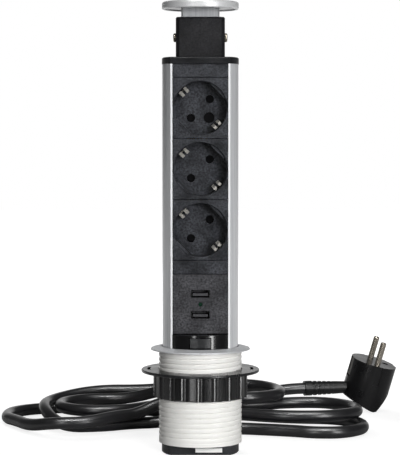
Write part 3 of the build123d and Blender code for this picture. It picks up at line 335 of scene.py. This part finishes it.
# The pieces from the frame that have each look
numbers = (1, 2, 3)
pieces_by_look = {
    "satin_silver_cap": ["cap_disc"],
    "silver_neck": ["neck"],
    "zinc_screw": [
        "cap_screws", "head_screws", "top_plate_screws", "base_screws", "clamp_screws", "latch_clip", "latch_spring"
    ],
    "head_black": ["head_box"],
    "black_plate": ["top_plate"],
    "anodised_profile": ["tower_profile"],
    "charcoal_base": ["base_cap"],
    "charcoal_insert": ["top_blank", "middle_blank", "lower_blank", *(f"socket_insert_{n}" for n in numbers)],
    "shutter_painted_shade": [f"shutter_{n}" for n in numbers],
    "nickel_clip_painted_highlight": [f"earth_strap_{n}" for n in numbers],
    "carrier_grey": [f"contact_carrier_{n}" for n in numbers],
    "brass_strip": ["live_busbar", "neutral_busbar", "earth_busbar"],
    "charger_face_painted_sheen": ["usb_faceplate"],
    "usb_shell": ["usb_shell_upper", "usb_shell_lower"],
    "tongue_grey": ["usb_tongue_upper", "usb_tongue_lower"],
    "board_green": ["charger_board"],
    "coil_tape": ["charger_transformer"],
    "can_black": ["charger_capacitors"],
    "light_pipe": ["led_pipe"],
    "latch_gloss": ["latch_block"],
    "button_black": ["latch_button", "cord_clamp"],
    "brown_lead": ["live_lead"],
    "blue_lead": ["neutral_lead"],
    "green_lead": ["earth_lead"],
    "boot_black": ["cord_grommet", "plug_boot"],
    "plug_black": ["plug_body"],
    "nickel_pin": ["plug_pins"],
    "dull_contact": ["plug_earth_contacts"],
    "silver_flange": ["flange_ring"],
    "tube_white": ["threaded_tube"],
    "label_paper": ["blank_label"],
    "clamp_black": ["clamp_ring"],
    "nut_black": ["ring_nut"],
}
for look, piece_names in pieces_by_look.items():
    for piece_name in piece_names:
        for slot in nodes[piece_name].material_slots:
            slot.material = looks[look]

# Edges that a mould or a tumbling drum rounds a little
rounding_steps = 3
rounded_from = math.radians(32)
rounded = {
    "plug_body": 0.0018,
    "ring_nut": 0.0009,
    "head_box": 0.0004,
    "latch_block": 0.0004,
    "latch_button": 0.0004,
    "plug_boot": 0.0003,
    "tower_profile": 0.00015,
    "base_cap": 0.0003,
    "usb_faceplate": 0.0002,
    "neck": 0.0003,
}
for piece_name, width in rounded.items():
    bevel = nodes[piece_name].modifiers.new("rounded_edges", "BEVEL")
    bevel.width = width
    bevel.segments = rounding_steps
    bevel.limit_method = "ANGLE"
    bevel.angle_limit = rounded_from
    bevel.harden_normals = True

# The latch's spring, which shortens as the button is pressed: a fixed copy of the frame's spring with its own mesh,
# riding with the tower
latch_coil = placed("latch_coil", nodes["latch_spring"].data.copy())
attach(latch_coil, "tower")
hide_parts("latch_spring")
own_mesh(latch_coil)

# The collar's tube, its thread one right-handed helix: outline of the groove as rises and drops
thread_pitch = 0.0035
groove_outline = [(0, 0), (0.00025, 0.0001), (0.00085, 0.00095), (0.00105, 0.00095), (0.00165, 0.0001), (0.0019, 0)]
thread_tail = 0.0024
thread_neck = 0.0012
thread_run_out = 0.0012
thread_steps = 120
thread_sharp_from = math.radians(35)
weld_distance = 0.000002
rebate = 0.0008
tube_bore = 0.0278
lip_bore = 0.02745
lip_height = 0.003
notch_half = 0.0066
notch_inner_y = 0.02
notch_top = 0.0145


def boxed_cutter(name, low, high):
    """A block between two corners."""
    corners = [(x, y, z) for x in (low[0], high[0]) for y in (low[1], high[1]) for z in (low[2], high[2])]
    faces = [(0, 1, 3, 2), (4, 6, 7, 5), (0, 4, 5, 1), (2, 3, 7, 6), (0, 2, 6, 4), (1, 5, 7, 3)]
    mesh = bpy.data.meshes.new(name)
    mesh.from_pydata(corners, [], faces)
    return placed(name, mesh)


def cut_away(piece, cutter):
    """Take a closed form out of a piece for good."""
    cut = piece.modifiers.new("cut", "BOOLEAN")
    cut.operation = "DIFFERENCE"
    cut.solver = "EXACT"
    cut.object = cutter
    bpy.context.view_layer.update()
    depsgraph = bpy.context.evaluated_depsgraph_get()
    carved = bpy.data.meshes.new_from_object(piece.evaluated_get(depsgraph))
    piece.modifiers.clear()
    piece.data = carved
    bpy.data.objects.remove(cutter)


def helical_tube(name, material):
    """The threaded tube between the CAD tube's own ends, with a stop lip in its bore and the cord's notch."""
    low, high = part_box("threaded_tube")
    crest = high.x
    thread_low = low.z + thread_tail
    thread_high = high.z - rebate - thread_neck
    turns = math.ceil((thread_high - thread_low) / thread_pitch) + 1
    form = bmesh.new()

    def around(step, radius, z):
        angle = 2 * math.pi * step / thread_steps
        return form.verts.new((radius * math.cos(angle), radius * math.sin(angle), z))

    columns = []
    for step in range(thread_steps):
        column = []
        for turn in range(-1, turns):
            for rise, drop in groove_outline:
                z = thread_low + (turn + step / thread_steps) * thread_pitch + rise
                z = min(max(z, thread_low), thread_high)
                run_out = min(1.0, (z - thread_low) / thread_run_out, (thread_high - z) / thread_run_out)
                column.append(around(step, crest - drop * run_out, z))
        columns.append(column)
    for step, here in enumerate(columns):
        last = step == thread_steps - 1
        there = columns[0] if last else columns[step + 1]
        # The last column meets the first one a whole turn higher
        shift = len(groove_outline) if last else 0
        for row in range(len(here) - 1 - shift):
            form.faces.new((here[row], there[row + shift], there[row + shift + 1], here[row + 1]))

    outline = [
        (crest, thread_low),
        (crest, low.z),
        (lip_bore, low.z),
        (lip_bore, low.z + lip_height),
        (tube_bore, low.z + lip_height),
        (tube_bore, high.z),
        (crest, high.z),
        (crest, thread_high),
    ]
    rings = [[around(step, radius, z) for step in range(thread_steps)] for radius, z in outline]
    for first, second in zip(rings, rings[1:]):
        for step in range(thread_steps):
            after = (step + 1) % thread_steps
            form.faces.new((first[step], first[after], second[after], second[step]))
    bmesh.ops.remove_doubles(form, verts=form.verts, dist=weld_distance)
    bmesh.ops.dissolve_degenerate(form, edges=form.edges, dist=weld_distance)
    bmesh.ops.recalc_face_normals(form, faces=form.faces)
    mesh = bpy.data.meshes.new(name)
    form.to_mesh(mesh)
    form.free()
    tube = placed(name, mesh)
    notch_low = (-notch_half, notch_inner_y, low.z - rebate)
    notch_high = (notch_half, 2 * crest, notch_top)
    cut_away(tube, boxed_cutter("notch", notch_low, notch_high))
    tube.data.materials.clear()
    tube.data.materials.append(material)
    tube.data.shade_smooth()
    tube.data.set_sharp_from_angle(angle=thread_sharp_from)
    return tube


threaded_sleeve = helical_tube("threaded_sleeve", looks["tube_white"])
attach(threaded_sleeve, "collar")
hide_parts("threaded_tube")

# A near-black rod in the blind access hole of the upper socket's floor: painted shade for the hole's dark inside
access_hole = Vector((0.0062, 0.0, 0.2396))
access_hole_radius = 0.00388
access_hole_shade_depths = (0.0012, 0.0032)
rod_sides = 32


def round_plug(name, centre, radius, front_y, back_y, material):
    """A short round rod along the depth, between two depths."""
    form = bmesh.new()
    rod = bmesh.ops.create_cone(
        form, cap_ends=True, segments=rod_sides, radius1=radius, radius2=radius, depth=back_y - front_y
    )["verts"]
    bmesh.ops.rotate(form, verts=rod, matrix=Matrix.Rotation(math.pi / 2, 3, "X"))
    bmesh.ops.translate(form, verts=rod, vec=centre + Vector((0, (front_y + back_y) / 2, 0)))
    mesh = bpy.data.meshes.new(name)
    form.to_mesh(mesh)
    form.free()
    mesh.materials.append(material)
    return placed(name, mesh)


# The rod is painted shade in the shutters' near-black, not a part of the socket
hole_shade = round_plug("access_hole_painted_shade", access_hole, access_hole_radius, *access_hole_shade_depths, looks["shutter_painted_shade"])
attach(hole_shade, "tower")

# The mains cord on one smooth line: from the grommet, through the loops, to the plug's boot.
# Its layers are the heights of its middle line, lying on the surface and on the turns below
layer_1 = 0.0046
layer_2 = 0.0144
layer_3 = 0.0242
cord_diameter = 0.0092

exit_route = [
    (0, 0.0276, 0.0079),
    (0, 0.0476, 0.0079),
    (0.0119, 0.0643, 0.006),
    (0.0312, 0.0711, layer_1),
]

# Places on the loops, each with the direction of the cord there in degrees from +X
loop_stations = [
    (0.0615, 0.062398, layer_1, -16),
    (0.094, 0.052, layer_1, 0),
    (0.1245, 0.084, layer_1, 92),
    (0.091, 0.120, layer_1, 176),
    (0, 0.148, layer_1, 166),
    (-0.100, 0.174, layer_1, 172),
    (-0.153, 0.136, layer_1, 266),
    (-0.136, 0.090, layer_1 + 0.001, 297),
    (-0.098, 0.065, layer_1 + 0.0052, 4),
    (-0.056, 0.086, layer_2 - 0.002, 32),
    (-0.022, 0.099, layer_3 - 0.0036, 8),
    (0.026, 0.095, layer_3, -4),
    (0.0625, 0.129, layer_3, 92),
    (0.026, 0.165, layer_3 + 0.001, 182),
    (-0.066, 0.172, layer_2 + 0.005, 178),
    (-0.1225, 0.130, layer_2, 266),
    (-0.088, 0.081, layer_1, 4),
    (-0.042, 0.098, layer_1, 12),
    (0.016, 0.084, layer_2, -16),
    (0.084, 0.067, layer_2, 2),
    (0.1212, 0.101, layer_2, 92),
    (0.084, 0.138, layer_2, 182),
    (0.034, 0.124, layer_2, 190),
    (-0.012, 0.138, layer_3, 158),
    (-0.074, 0.158, layer_2, 178),
    (-0.110, 0.126, layer_2, 268),
    (-0.077, 0.094, layer_2, 2),
    (-0.026, 0.130, layer_2, 42),
    (0.026, 0.173, layer_2 - 0.0004, 10),
]

lead_route = [
    (0.0427, 0.1760, 0.0140),
    (0.0696, 0.1769, 0.0197),
    (0.0852, 0.1802, 0.0197),
]


def heading(degrees):
    """The level direction at an angle from +X."""
    return Vector((math.cos(math.radians(degrees)), math.sin(math.radians(degrees)), 0))


def loop_corners(stations):
    """The corners of the loops' outline: where the directions at neighbouring stations lead."""
    corners = []
    for here, there in zip(stations, stations[1:]):
        start, end = Vector(here[:3]), Vector(there[:3])
        leaving, arriving = heading(here[3]), heading(there[3])
        chord = end - start
        square = 2 * (1 - leaving.dot(arriving))
        linear = 2 * chord.dot(leaving + arriving)
        root = math.sqrt(linear**2 + 4 * square * chord.length_squared)
        reach = 2 * chord.length_squared / (linear + root)
        corners.append(start + leaving * reach)
        corners.append(end - arriving * reach)
    return corners


def nurbs_tube(name, points, radius, material):
    """A round tube along one smooth open spline."""
    curve = bpy.data.curves.new(name, "CURVE")
    curve.dimensions = "3D"
    curve.bevel_depth = radius
    curve.bevel_resolution = 6
    curve.use_fill_caps = True
    spline = curve.splines.new("NURBS")
    spline.points.add(len(points) - 1)
    for point, place in zip(spline.points, points):
        point.co = (*place, 1)
    spline.order_u = 3
    spline.use_endpoint_u = True
    spline.resolution_u = 10
    curve.materials.append(material)
    return placed(name, curve)


cord_line = [*exit_route, *loop_corners(loop_stations), *lead_route]
mains_cord = nurbs_tube("mains_cord", cord_line, cord_diameter / 2, looks["cord_black"])
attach(mains_cord, "tower")
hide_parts("cord_exit", "cord_coil", "cord_lead")

# Floor, backdrop and light


def seen_white_share(tree, depth, start, full):
    """1 for the camera, and for reflections and glass as far as the backdrop: from a depth to a full depth."""
    path = tree.nodes.new("ShaderNodeLightPath")
    backdrop = tree.nodes.new("ShaderNodeMapRange")
    backdrop.inputs["From Min"].default_value = start
    backdrop.inputs["From Max"].default_value = full
    tree.links.new(depth, backdrop.inputs["Value"])
    steps = [
        ("MAXIMUM", path.outputs["Is Glossy Ray"], path.outputs["Is Transmission Ray"]),
        ("MULTIPLY", None, backdrop.outputs["Result"]),
        ("MAXIMUM", None, path.outputs["Is Camera Ray"]),
    ]
    total = None
    for operation, first, second in steps:
        step = tree.nodes.new("ShaderNodeMath")
        step.operation = operation
        tree.links.new(first or total, step.inputs[0])
        tree.links.new(second, step.inputs[1])
        total = step.outputs[0]
    return total


def seen_white(name, tint, near_strength, near, far, backdrop_start, backdrop_full):
    """A pale floor: it takes a shadow near the object, and is seen as plain white farther out."""
    material = bpy.data.materials.new(name)
    material.use_nodes = True
    tree = material.node_tree
    shader = tree.nodes["Principled BSDF"]
    shader.inputs["Base Color"].default_value = tint
    shader.inputs["Roughness"].default_value = 0.9
    shader.inputs["Specular IOR Level"].default_value = 0.1
    shader.inputs["Emission Color"].default_value = (1, 1, 1, 1)
    place = tree.nodes.new("ShaderNodeTexCoord").outputs["Object"]
    distance = tree.nodes.new("ShaderNodeVectorMath")
    distance.operation = "LENGTH"
    tree.links.new(place, distance.inputs[0])
    glow = tree.nodes.new("ShaderNodeMapRange")
    for label, value in (("From Min", near), ("From Max", far), ("To Min", near_strength), ("To Max", 1.0)):
        glow.inputs[label].default_value = value
    tree.links.new(distance.outputs["Value"], glow.inputs["Value"])
    parts = tree.nodes.new("ShaderNodeSeparateXYZ")
    tree.links.new(place, parts.inputs[0])
    scale = tree.nodes.new("ShaderNodeMath")
    scale.operation = "MULTIPLY"
    tree.links.new(seen_white_share(tree, parts.outputs["Y"], backdrop_start, backdrop_full), scale.inputs[0])
    tree.links.new(glow.outputs["Result"], scale.inputs[1])
    tree.links.new(scale.outputs[0], shader.inputs["Emission Strength"])
    return material


floor_reach = 4.0
floor_front = 0.12
floor_z = -0.0003
floor_mesh = bpy.data.meshes.new("floor")
floor_mesh.from_pydata(
    [
        (-floor_reach, -floor_front, floor_z),
        (floor_reach, -floor_front, floor_z),
        (floor_reach, floor_reach, floor_z),
        (-floor_reach, floor_reach, floor_z),
    ],
    [],
    [(0, 1, 2, 3)],
)
pale_floor = seen_white(
    "pale_floor",
    tint=(0.4, 0.4, 0.4, 1),
    near_strength=0.8,
    near=0.25,
    far=0.6,
    backdrop_start=0.2,
    backdrop_full=0.5,
)
floor_mesh.materials.append(pale_floor)
floor = placed("floor", floor_mesh)
# The tower stands on the floor, so the floor goes with it
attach(floor, "tower")


def studio_world(level, backdrop_start, backdrop_full):
    """A dim studio, seen as white by the camera, with a white backdrop behind the object in reflections."""
    world = bpy.data.worlds.new("studio")
    bpy.context.scene.world = world
    world.use_nodes = True
    tree = world.node_tree
    background = tree.nodes["Background"]
    background.inputs["Color"].default_value = (1, 1, 1, 1)
    parts = tree.nodes.new("ShaderNodeSeparateXYZ")
    tree.links.new(tree.nodes.new("ShaderNodeTexCoord").outputs["Generated"], parts.inputs[0])
    seen = seen_white_share(tree, parts.outputs["Y"], backdrop_start, backdrop_full)
    strength = tree.nodes.new("ShaderNodeMapRange")
    strength.inputs["To Min"].default_value = level
    strength.inputs["To Max"].default_value = 1.0
    tree.links.new(seen, strength.inputs["Value"])
    tree.links.new(strength.outputs["Result"], background.inputs["Strength"])


studio_world(level=0.08, backdrop_start=0.8, backdrop_full=1.0)

tower_middle = Vector((0, 0, 0.17))


def softbox(name, place, size, power, lights=True, mirrored=True):
    """A lamp that looks at the middle of the tower, and that lights it, is mirrored in its gloss, or both."""
    lamp = bpy.data.lights.new(name, "AREA")
    lamp.shape = "RECTANGLE"
    lamp.size, lamp.size_y = size
    lamp.energy = power
    holder = placed(name, lamp)
    holder.location = place
    holder.visible_diffuse = lights
    holder.visible_glossy = mirrored
    aim = tower_middle - Vector(place)
    holder.rotation_euler = aim.to_track_quat("-Z", "Y").to_euler()


softbox("key_softbox", (0.5, -1.5, 0.36), (0.4, 0.6), 24, mirrored=False)
softbox("back_softbox", (-0.7, 1.5, 0.8), (0.6, 0.9), 17, mirrored=False)
softbox("top_softbox", (0.1, -0.3, 1.4), (0.9, 0.9), 4)
softbox("top_strip", (0, -0.7, 1.2), (1.2, 0.08), 14, lights=False)
softbox("right_strip", (0.85, -1.25, 0.3), (0.26, 1.1), 11, lights=False)
softbox("left_strip", (-0.5, -1.5, 0.3), (0.16, 1.0), 4, lights=False)

# Camera at the photograph's angle
camera_side = -0.00025
camera_distance = 1.288
camera_height = 0.2293
camera_drop = math.radians(3.03)
camera_data = bpy.data.cameras.new("photo_camera")
camera_data.lens = 142.65
camera_data.sensor_width = 36.0
camera = placed("photo_camera", camera_data)
camera.location = (camera_side, -camera_distance, camera_height)
camera.rotation_euler = (math.pi / 2 - camera_drop, 0, 0)
bpy.context.scene.camera = camera
bpy.context.scene.view_settings.view_transform = "Standard"
